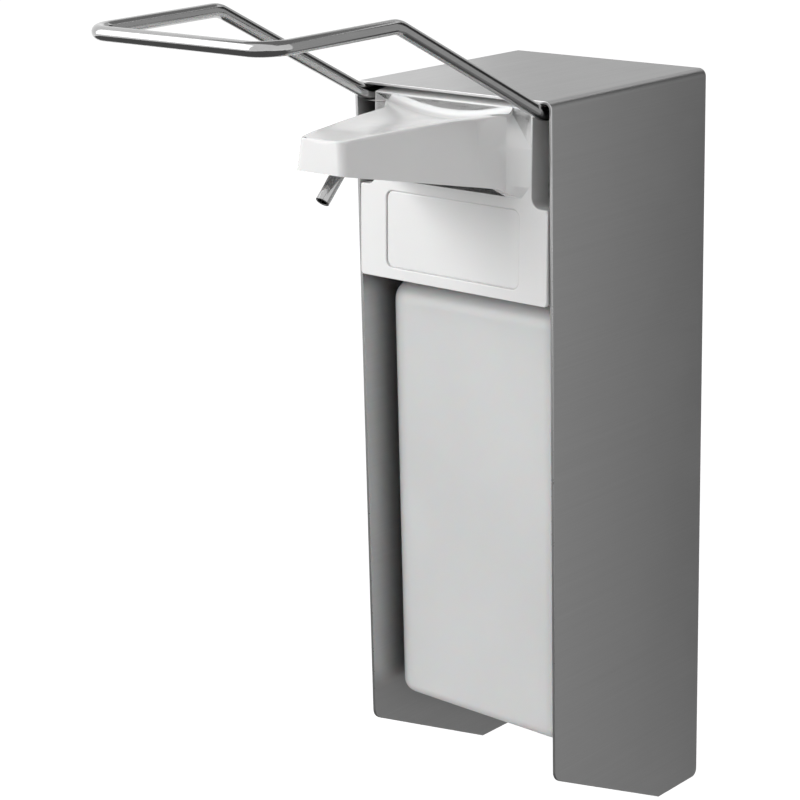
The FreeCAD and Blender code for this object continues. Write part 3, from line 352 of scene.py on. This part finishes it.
materials = {
    "brushed_sheet": brushed_steel("brushed_sheet", (2400.0, 16.0, 2400.0), 0.54, (0.30, 0.36)),
    "bracket_steel": brushed_steel("bracket_steel", (18.0, 1500.0, 1500.0), 0.46, (0.34, 0.42)),
    "polished_wire": bright_steel("polished_wire", 0.48, 0.10, (900.0, 60.0, 900.0)),
    "turned_steel": bright_steel("turned_steel", 0.50, 0.20, (40.0, 1500.0, 1500.0)),
    "screw_steel": bright_steel("screw_steel", 0.20, 0.30, (700.0, 700.0, 60.0)),
    "cover_plastic": moulded_plastic("cover_plastic", (0.80, 0.80, 0.797), 0.2, Coat_Weight=0.2,
                                     Coat_Roughness=0.1, Subsurface_Weight=0.05, Subsurface_Scale=0.002),
    "bottle_plastic": moulded_plastic("bottle_plastic", (0.63, 0.63, 0.63), 0.38, 90.0, 0.00003,
                                      seam=middle_y("bottle"), Subsurface_Weight=0.25, Subsurface_Scale=0.004),
    "cradle_plastic": moulded_plastic("cradle_plastic", (0.62, 0.62, 0.61), 0.34),
    "head_plastic": moulded_plastic("head_plastic", (0.60, 0.60, 0.60), 0.30),
    "bush_plastic": moulded_plastic("bush_plastic", (0.55, 0.54, 0.50), 0.38),
    "pump_plastic": moulded_plastic("pump_plastic", (0.66, 0.67, 0.67), 0.28),
    "black_rubber": rubber("black_rubber", 0.022),
    "seal_rubber": rubber("seal_rubber", 0.05),
}

slot_of_node = {name: node.material_slots[0].material.name.split(".")[0] for name, node in nodes.items()}


# Pieces made from the CAD

# Vertices this close are merged, in metres, and faces this flat to each other are joined, in degrees
merge_distance = 2e-6
flat_angle = 0.05

# No corner is rolled beside a face narrower than the sliver, nor on a soft fold that is shorter than this, both in
# millimetres. A rolled corner takes at most this share of the narrower face beside it.
sliver = 0.03
short_fold = 8
most_of_face = 0.4


def room_beside(edge):
    """How far the narrower of an edge's two faces reaches from it."""
    start, end = (corner.co for corner in edge.verts)
    along = (end - start).normalized()
    reach = []
    for face in edge.link_faces:
        gaps = [corner.co - start for corner in face.verts]
        reach.append(max((gap - along * gap.dot(along)).length for gap in gaps))
    return min(reach)


def mark_corners(shape, width, crease, fold, share):
    """Gives each outer corner its share of the bevel's width: less beside a narrow face. Inner corners stay sharp."""
    weights = shape.edges.layers.float.new("bevel_weight_edge")
    for edge in shape.edges:
        edge.smooth = True
        if len(edge.link_faces) != 2 or room_beside(edge) < mm(sliver):
            continue
        angle = math.degrees(edge.calc_face_angle(0))
        if angle > crease or angle > fold and edge.is_convex and edge.calc_length() > mm(short_fold):
            wanted = share((edge.verts[0].co + edge.verts[1].co) / 2)
            if width and wanted and edge.is_convex:
                edge[weights] = min(wanted, most_of_face * room_beside(edge) / width)
            else:
                edge.smooth = False


def evenly(spot):
    return 1.0


def dressed(node, bevel=0.0, segments=2, crease=28, fold=28, share=evenly, reshape=None):
    """A merged copy of a CAD node with rolled corners, which stands for the node."""
    mesh = bpy.data.meshes.new(node + "_skin")
    shape = bmesh.new()
    shape.from_mesh(nodes[node].data)
    bmesh.ops.remove_doubles(shape, verts=shape.verts, dist=merge_distance)
    bmesh.ops.dissolve_limit(shape, angle_limit=math.radians(flat_angle), verts=shape.verts, edges=shape.edges)
    if reshape:
        reshape(shape)
    mark_corners(shape, mm(bevel), crease, fold, share)
    for face in shape.faces:
        face.smooth = True
    shape.to_mesh(mesh)
    shape.free()
    for _ in ("faces", "rolled corners"):
        mesh.materials.append(materials[slot_of_node[node]])
    return finish_piece(node + "_skin", mesh, node, bevel, segments)


def finish_piece(name, mesh, node, bevel, segments):
    """Rolls the marked corners, evens the normals, bakes that in, and puts the piece on the node's body."""
    rough = bpy.data.objects.new(name + "_rough", mesh)
    scene.collection.objects.link(rough)
    if bevel:
        roll = rough.modifiers.new("rolled_corners", "BEVEL")
        roll.width = mm(bevel)
        roll.segments = segments
        roll.limit_method = "WEIGHT"
        roll.miter_outer = "MITER_ARC"
        roll.use_clamp_overlap = False
        roll.material = 1
    weights = rough.modifiers.new("weights", "WEIGHTED_NORMAL")
    weights.keep_sharp = True
    baked = bpy.data.meshes.new_from_object(rough.evaluated_get(bpy.context.evaluated_depsgraph_get()))
    bpy.data.objects.remove(rough)
    mark = baked.attributes.new("rolled", "FLOAT", "FACE")
    for face in baked.polygons:
        mark.data[face.index].value = 1.0 if face.material_index else 0.0
        face.material_index = 0
    while len(baked.materials) > 1:
        baked.materials.pop(index=1)
    return settle(name, baked, node)


def settle(name, mesh, *stands_for):
    """Puts a finished mesh in the scene, on the body and in the place of the CAD nodes that it stands for."""
    piece = bpy.data.objects.new(name, mesh)
    scene.collection.objects.link(piece)
    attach(piece, body_of_node[stands_for[0]])
    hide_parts(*stands_for)
    return piece


# Pieces that follow a line or repeat

def new_geometry(name, inputs):
    """An empty geometry tree: the Start geometry, value inputs {name: default}, a Finish and the Pieces made."""
    tree = bpy.data.node_groups.new(name, "GeometryNodeTree")
    tree.interface.new_socket("Start", in_out="INPUT", socket_type="NodeSocketGeometry")
    for key, default in inputs.items():
        kind = "NodeSocketInt" if isinstance(default, int) else "NodeSocketFloat"
        tree.interface.new_socket(key, in_out="INPUT", socket_type=kind).default_value = default
    tree.interface.new_socket("Finish", in_out="INPUT", socket_type="NodeSocketMaterial")
    tree.interface.new_socket("Pieces", in_out="OUTPUT", socket_type="NodeSocketGeometry")
    return tree, tree.nodes.new("NodeGroupInput"), tree.nodes.new("NodeGroupOutput")


def close_geometry(tree, given, out, made):
    """Ends a tree: smooth faces, real geometry, and the finish on it."""
    smooth = new_node(tree, "GeometryNodeSetShadeSmooth")
    feed(tree, smooth, 0, made)
    real = new_node(tree, "GeometryNodeRealizeInstances")
    feed(tree, real, 0, smooth.outputs[0])
    finish = new_node(tree, "GeometryNodeSetMaterial")
    feed(tree, finish, 0, real.outputs[0])
    feed(tree, finish, "Material", given.outputs["Finish"])
    feed(tree, out, "Pieces", finish.outputs[0])


def grown(name, start, tree, finish, **values):
    """Runs a geometry tree on a start mesh and returns the plain mesh that it makes."""
    maker = bpy.data.objects.new(name + "_maker", start)
    scene.collection.objects.link(maker)
    step = maker.modifiers.new("grow", "NODES")
    step.node_group = tree
    wanted = {key.replace("_", " "): value for key, value in values.items()}
    wanted["Finish"] = finish
    for socket in tree.interface.items_tree:
        if socket.in_out == "INPUT" and socket.name in wanted:
            step[socket.identifier] = wanted[socket.name]
    mesh = bpy.data.meshes.new_from_object(maker.evaluated_get(bpy.context.evaluated_depsgraph_get()))
    bpy.data.objects.remove(maker)
    mesh.name = name
    return mesh


def wire_tree():
    """A round wire along a line of corners, each rounded by its own "corner" radius."""
    tree, given, out = new_geometry("bent_wire", {"Wire radius": 0.0025, "Sides": 28, "Bend steps": 12})
    line = new_node(tree, "GeometryNodeMeshToCurve")
    feed(tree, line, 0, given.outputs["Start"])
    corner = new_node(tree, "GeometryNodeInputNamedAttribute", data_type="FLOAT")
    corner.inputs["Name"].default_value = "corner"
    bend = new_node(tree, "GeometryNodeFilletCurve", mode="POLY")
    feed(tree, bend, "Curve", line.outputs[0])
    feed(tree, bend, "Count", given.outputs["Bend steps"])
    feed(tree, bend, "Radius", corner.outputs[0])
    ring = new_node(tree, "GeometryNodeCurvePrimitiveCircle", mode="RADIUS")
    feed(tree, ring, "Resolution", given.outputs["Sides"])
    feed(tree, ring, "Radius", given.outputs["Wire radius"])
    wire = new_node(tree, "GeometryNodeCurveToMesh")
    feed(tree, wire, "Curve", bend.outputs[0])
    feed(tree, wire, "Profile Curve", ring.outputs[0])
    feed(tree, wire, "Fill Caps", True)
    close_geometry(tree, given, out, wire.outputs[0])
    return tree


def rivet_tree():
    """A flat-domed rivet at each point, its head towards the front and its shank back to the wall."""
    tree, given, out = new_geometry("rivets", {
        "Head radius": 0.003, "Head rise": 0.0013, "Shank radius": 0.0016, "Shank length": 0.0027, "Sides": 32})
    dome = new_node(tree, "GeometryNodeMeshUVSphere")
    feed(tree, dome, "Segments", given.outputs["Sides"])
    feed(tree, dome, "Rings", 14)
    feed(tree, dome, "Radius", 1.0)
    size = new_node(tree, "ShaderNodeCombineXYZ")
    feed(tree, size, 0, given.outputs["Head radius"])
    feed(tree, size, 1, given.outputs["Head rise"])
    feed(tree, size, 2, given.outputs["Head radius"])
    head = new_node(tree, "GeometryNodeTransform")
    feed(tree, head, "Geometry", dome.outputs[0])
    feed(tree, head, "Scale", size.outputs[0])
    rod = new_node(tree, "GeometryNodeMeshCylinder")
    feed(tree, rod, "Vertices", given.outputs["Sides"])
    feed(tree, rod, "Radius", given.outputs["Shank radius"])
    feed(tree, rod, "Depth", given.outputs["Shank length"])
    half = new_node(tree, "ShaderNodeCombineXYZ")
    feed(tree, half, 1, math_node(tree, "MULTIPLY", given.outputs["Shank length"], 0.5))
    shank = new_node(tree, "GeometryNodeTransform")
    feed(tree, shank, "Geometry", rod.outputs[0])
    feed(tree, shank, "Translation", half.outputs[0])
    feed(tree, shank, "Rotation", (math.pi / 2, 0.0, 0.0))
    rivet = new_node(tree, "GeometryNodeJoinGeometry")
    tree.links.new(head.outputs[0], rivet.inputs[0])
    tree.links.new(shank.outputs[0], rivet.inputs[0])
    spots = new_node(tree, "GeometryNodeInstanceOnPoints")
    feed(tree, spots, "Points", given.outputs["Start"])
    feed(tree, spots, "Instance", rivet.outputs[0])
    close_geometry(tree, given, out, spots.outputs[0])
    return tree


# The lever's wire in millimetres, with the CAD's sizes. A corner is given as y, z and the radius that rounds it.
wire_radius = 2.5
arm_x = 41.0
arm_z = 151.0
arm_bend = (-90.5, arm_z, 10)
knee = (-163.8, 189.4, 11)
bar_corner = (-221.8, 188.5, 9)


def lever_line():
    """The lever's corners with their radii: two tails in the sockets, bends, knees and the bar's corners."""
    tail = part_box("lever_wire")[1][1]
    bends = [(mm(arm_x), tail, mm(arm_z), 0.0)]
    bends += [(mm(arm_x), mm(y), mm(z), mm(radius)) for y, z, radius in (arm_bend, knee, bar_corner)]
    whole = bends + [(-x, y, z, radius) for x, y, z, radius in reversed(bends)]
    mesh = bpy.data.meshes.new("lever_line")
    mesh.from_pydata([point[:3] for point in whole], [(i, i + 1) for i in range(len(whole) - 1)], [])
    corner = mesh.attributes.new("corner", "FLOAT", "POINT")
    for i, point in enumerate(whole):
        corner.data[i].value = point[3]
    return mesh


# Pairs of rivets in millimetres: their spacing, their height above the housing's foot, and the shank's length
rivet_pairs = [(34, 31.1, 2.4), (30, 213.3, 2.7), (40, 272.0, 2.7)]
slots_above_foot = 130


def rivet_spots(spacing, height, shank):
    """Where the two heads of a pair sit, a shank's length in front of the wall."""
    mesh = bpy.data.meshes.new("rivet_spots")
    z = mm(height - slots_above_foot)
    mesh.from_pydata([(mm(side * spacing / 2), mm(-shank), z) for side in (-1, 1)], [], [])
    return mesh


lever = grown("lever_wire_bent", lever_line(), wire_tree(), materials["polished_wire"], Wire_radius=mm(wire_radius))
settle("lever_wire_bent", lever, "lever_wire")

rivets = rivet_tree()
heads = bmesh.new()
for spacing, height, shank in rivet_pairs:
    spots = rivet_spots(spacing, height, shank)
    heads.from_mesh(grown("rivet_row", spots, rivets, materials["turned_steel"], Shank_length=mm(shank)))
rivet_mesh = bpy.data.meshes.new("rivet_heads")
heads.to_mesh(rivet_mesh)
heads.free()
rivet_mesh.materials.append(materials["turned_steel"])
settle("rivet_heads", rivet_mesh, "bracket_rivets")

# Width of each node's rolled corners, in millimetres
rolled_corners = {
    "housing_shell": 0.3, "back_plate": 0.2, "bottle_shelf": 0.2, "pump_bracket": 0.2, "pivot_bracket": 0.2,
    "arm_socket_left": 0.3, "arm_socket_right": 0.3, "rocker": 0.25, "press_pad": 0.3, "pump_cradle": 0.4,
    "pump_head": 0.3, "guide_collar": 0.2, "pump_cylinder": 0.2, "foot_valve": 0.2,
    "tube_nut": 0.15, "outlet_tube": 0.12, "pivot_bush_left": 0.15, "pivot_bush_right": 0.15,
    "lever_stops": 0.2, "neck_seal": 0.2, "piston": 0.15, "socket_screws": 0.1, "bottle": 0.2,
}
for node, width in rolled_corners.items():
    dressed(node, width)


# The cover's zones in millimetres: the plate lies behind plate_front, and the beak's root covers a part of it
plate_front = -93.6
root_half_width = 32
root_low, root_high = 118, 150
beak_rim = 146
nose_back, nose_low = -152, 138

# The label's floor, the channel round it and the ribs behind the beak, in millimetres
label_width, label_height = 63, 28.9
channel_depth, channel_width = 0.5, 0.5
floor_rise = 0.45
rib_place = (14.5, -90.85, 125.8)
rib_size = (20, 2.1, 3.6)


def softer_beak(spot):
    """The share of the widest corner: most on the beak's top, less on its nose and the plate, none at the root."""
    if spot.y > mm(plate_front):
        at_root = abs(spot.x) < mm(root_half_width) and mm(root_low) < spot.z < mm(root_high)
        return 0.0 if at_root else 0.3
    if spot.z > mm(beak_rim):
        return 1.0
    return 0.5 if spot.y < mm(nose_back) and spot.z > mm(nose_low) else 0.0


def finish_cover(shape):
    """Sinks a narrow channel round the label's bare floor, and stands two low ribs behind the beak.

    The ribs catch light, so that the gap under the beak doesn't read as black. The CAD has neither."""
    wanted = mm(label_width) * mm(label_height)
    flats = [face for face in shape.faces if face.normal.y < -0.99]
    floor = min(flats, key=lambda face: abs(face.calc_area() - wanted))
    bmesh.ops.translate(shape, verts=floor.verts, vec=floor.normal * mm(-channel_depth))
    bmesh.ops.inset_region(shape, faces=[floor], thickness=mm(channel_width))
    bmesh.ops.translate(shape, verts=floor.verts, vec=floor.normal * mm(floor_rise))
    x, y, z = rib_place
    scale = Matrix.Diagonal([mm(value) for value in rib_size] + [1])
    for side in (-1, 1):
        middle = Matrix.Translation((mm(side * x), mm(y), mm(z)))
        bmesh.ops.create_cube(shape, size=1, matrix=middle @ scale)
    shape.normal_update()


dressed("front_cover", 1.5, segments=4, crease=24, fold=12, share=softer_beak, reshape=finish_cover)


def pressed_spring():
    """The return spring, dressed and given a mesh of its own. The real spring's turns close up by the pump's stroke as
    the lever goes down; the piece here keeps its shape.
    """
    spring = dressed("return_spring", crease=60, fold=60)
    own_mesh(spring)


pressed_spring()

for name, node in nodes.items():
    for held in node.material_slots:
        held.material = materials[slot_of_node[name]]


# Studio

def glow_mask(tree):
    """1 for rays that see the background: from the camera, or off and through the object."""
    path = new_node(tree, "ShaderNodeLightPath")
    seen = math_node(tree, "MAXIMUM", path.outputs["Is Camera Ray"], path.outputs["Is Glossy Ray"])
    return math_node(tree, "MAXIMUM", seen, path.outputs["Is Transmission Ray"])


def make_world():
    world = bpy.data.worlds.new("studio")
    world.use_nodes = True
    tree = world.node_tree
    base = tree.nodes["Background"]
    base.inputs[0].default_value = grey(1.0)
    feed(tree, base, 1, spread(tree, glow_mask(tree), 0.0, 1.0, 0.36, 1.0))
    scene.world = world


def make_floor():
    """A pale floor that shows white: its own glow makes up for the lamps' fall-off with distance."""
    mesh = bpy.data.meshes.new("floor")
    size = 12.0
    mesh.from_pydata([(-size, -size, 0), (size, -size, 0), (size, size, 0), (-size, size, 0)], [], [(0, 1, 2, 3)])
    floor = bpy.data.objects.new("floor", mesh)
    floor.location = (0, 0, floor_z)
    material = bpy.data.materials.new("pale_floor")
    material.use_nodes = True
    tree = material.node_tree
    tree.nodes.remove(tree.nodes["Principled BSDF"])
    matt = new_node(tree, "ShaderNodeBsdfDiffuse")
    matt.inputs[0].default_value = grey(0.72)
    coords = new_node(tree, "ShaderNodeTexCoord").outputs["Object"]
    away = new_node(tree, "ShaderNodeVectorMath", operation="LENGTH")
    feed(tree, away, 0, coords)
    glow = new_node(tree, "ShaderNodeEmission")
    glow.inputs[0].default_value = grey(1.0)
    feed(tree, glow, 1, math_node(tree, "MULTIPLY", glow_mask(tree), spread(
        tree, away.outputs["Value"], 0.3, 2.6, 0.5, 0.8)))
    both = new_node(tree, "ShaderNodeAddShader")
    feed(tree, both, 0, matt.outputs[0])
    feed(tree, both, 1, glow.outputs[0])
    tree.links.new(both.outputs[0], tree.nodes["Material Output"].inputs[0])
    mesh.materials.append(material)
    scene.collection.objects.link(floor)


def upright(start, end, low, high):
    """The corners of a card that stands between two points of the plan."""
    return [(*start, low), (*end, low), (*end, high), (*start, high)]


def level_at(low, high, height):
    """The corners of a card that lies between two corners of the plan."""
    (left, front), (right, back) = low, high
    return [(left, front, height), (right, front, height), (right, back, height), (left, back, height)]


def studio_card(name, corners, level):
    """A card in the studio that only reflections see."""
    mesh = bpy.data.meshes.new(name)
    mesh.from_pydata(corners, [], [(0, 1, 2, 3)])
    material = bpy.data.materials.new(name)
    material.use_nodes = True
    tree = material.node_tree
    tree.nodes.remove(tree.nodes["Principled BSDF"])
    glow = new_node(tree, "ShaderNodeEmission")
    glow.inputs[0].default_value = grey(1.0)
    glow.inputs[1].default_value = level
    tree.links.new(glow.outputs[0], tree.nodes["Material Output"].inputs[0])
    mesh.materials.append(material)
    card = bpy.data.objects.new(name, mesh)
    card.visible_camera = False
    card.visible_diffuse = False
    card.visible_transmission = False
    card.visible_volume_scatter = False
    card.visible_shadow = False
    scene.collection.objects.link(card)


def soft_light(name, position, target, size, watts):
    data = bpy.data.lights.new(name, "AREA")
    data.shape = "RECTANGLE"
    data.size, data.size_y = size
    data.energy = watts
    lamp = bpy.data.objects.new(name, data)
    lamp.location = position
    lamp.rotation_euler = (Vector(target) - Vector(position)).to_track_quat("-Z", "Y").to_euler()
    lamp.visible_camera = False
    lamp.visible_glossy = False
    scene.collection.objects.link(lamp)


aim_camera()
make_world()
make_floor()
card_foot = floor_z + 0.01
card_flat = floor_z + 0.005
studio_card("card_beside_near", upright((0.78, 0.30), (0.495, 0.56), card_foot, 0.85), 0.47)
studio_card("card_beside_far", upright((0.495, 0.56), (0.12, 0.90), card_foot, 0.85), 0.05)
studio_card("card_below_beside", level_at((0.15, 0.2), (1.6, 1.0), card_flat), 0.25)
studio_card("card_behind", upright((0.19, 1.16), (-0.51, 0.52), card_foot, 1.0), 0.62)
studio_card("card_key", upright((-1.75, -0.75), (-0.35, -1.75), 0.1, 2.1), 2.6)
studio_card("card_under", level_at((-2.0, -2.5), (2.0, 0.2), card_flat), 0.12)
studio_card("card_over", level_at((-2.0, -0.6), (2.0, 2.0), 2.2), 0.25)
middle = (0, -0.05, 0.02)
soft_light("key", (-0.9, -1.5, 1.0), middle, (1.3, 1.3), 32)
soft_light("fill", (1.5, 0.3, 0.5), middle, (0.8, 1.2), 4)
soft_light("top", (-0.2, 0.5, 1.3), (0, -0.05, 0.1), (1.2, 0.8), 5)

scene.view_settings.view_transform = "Standard"
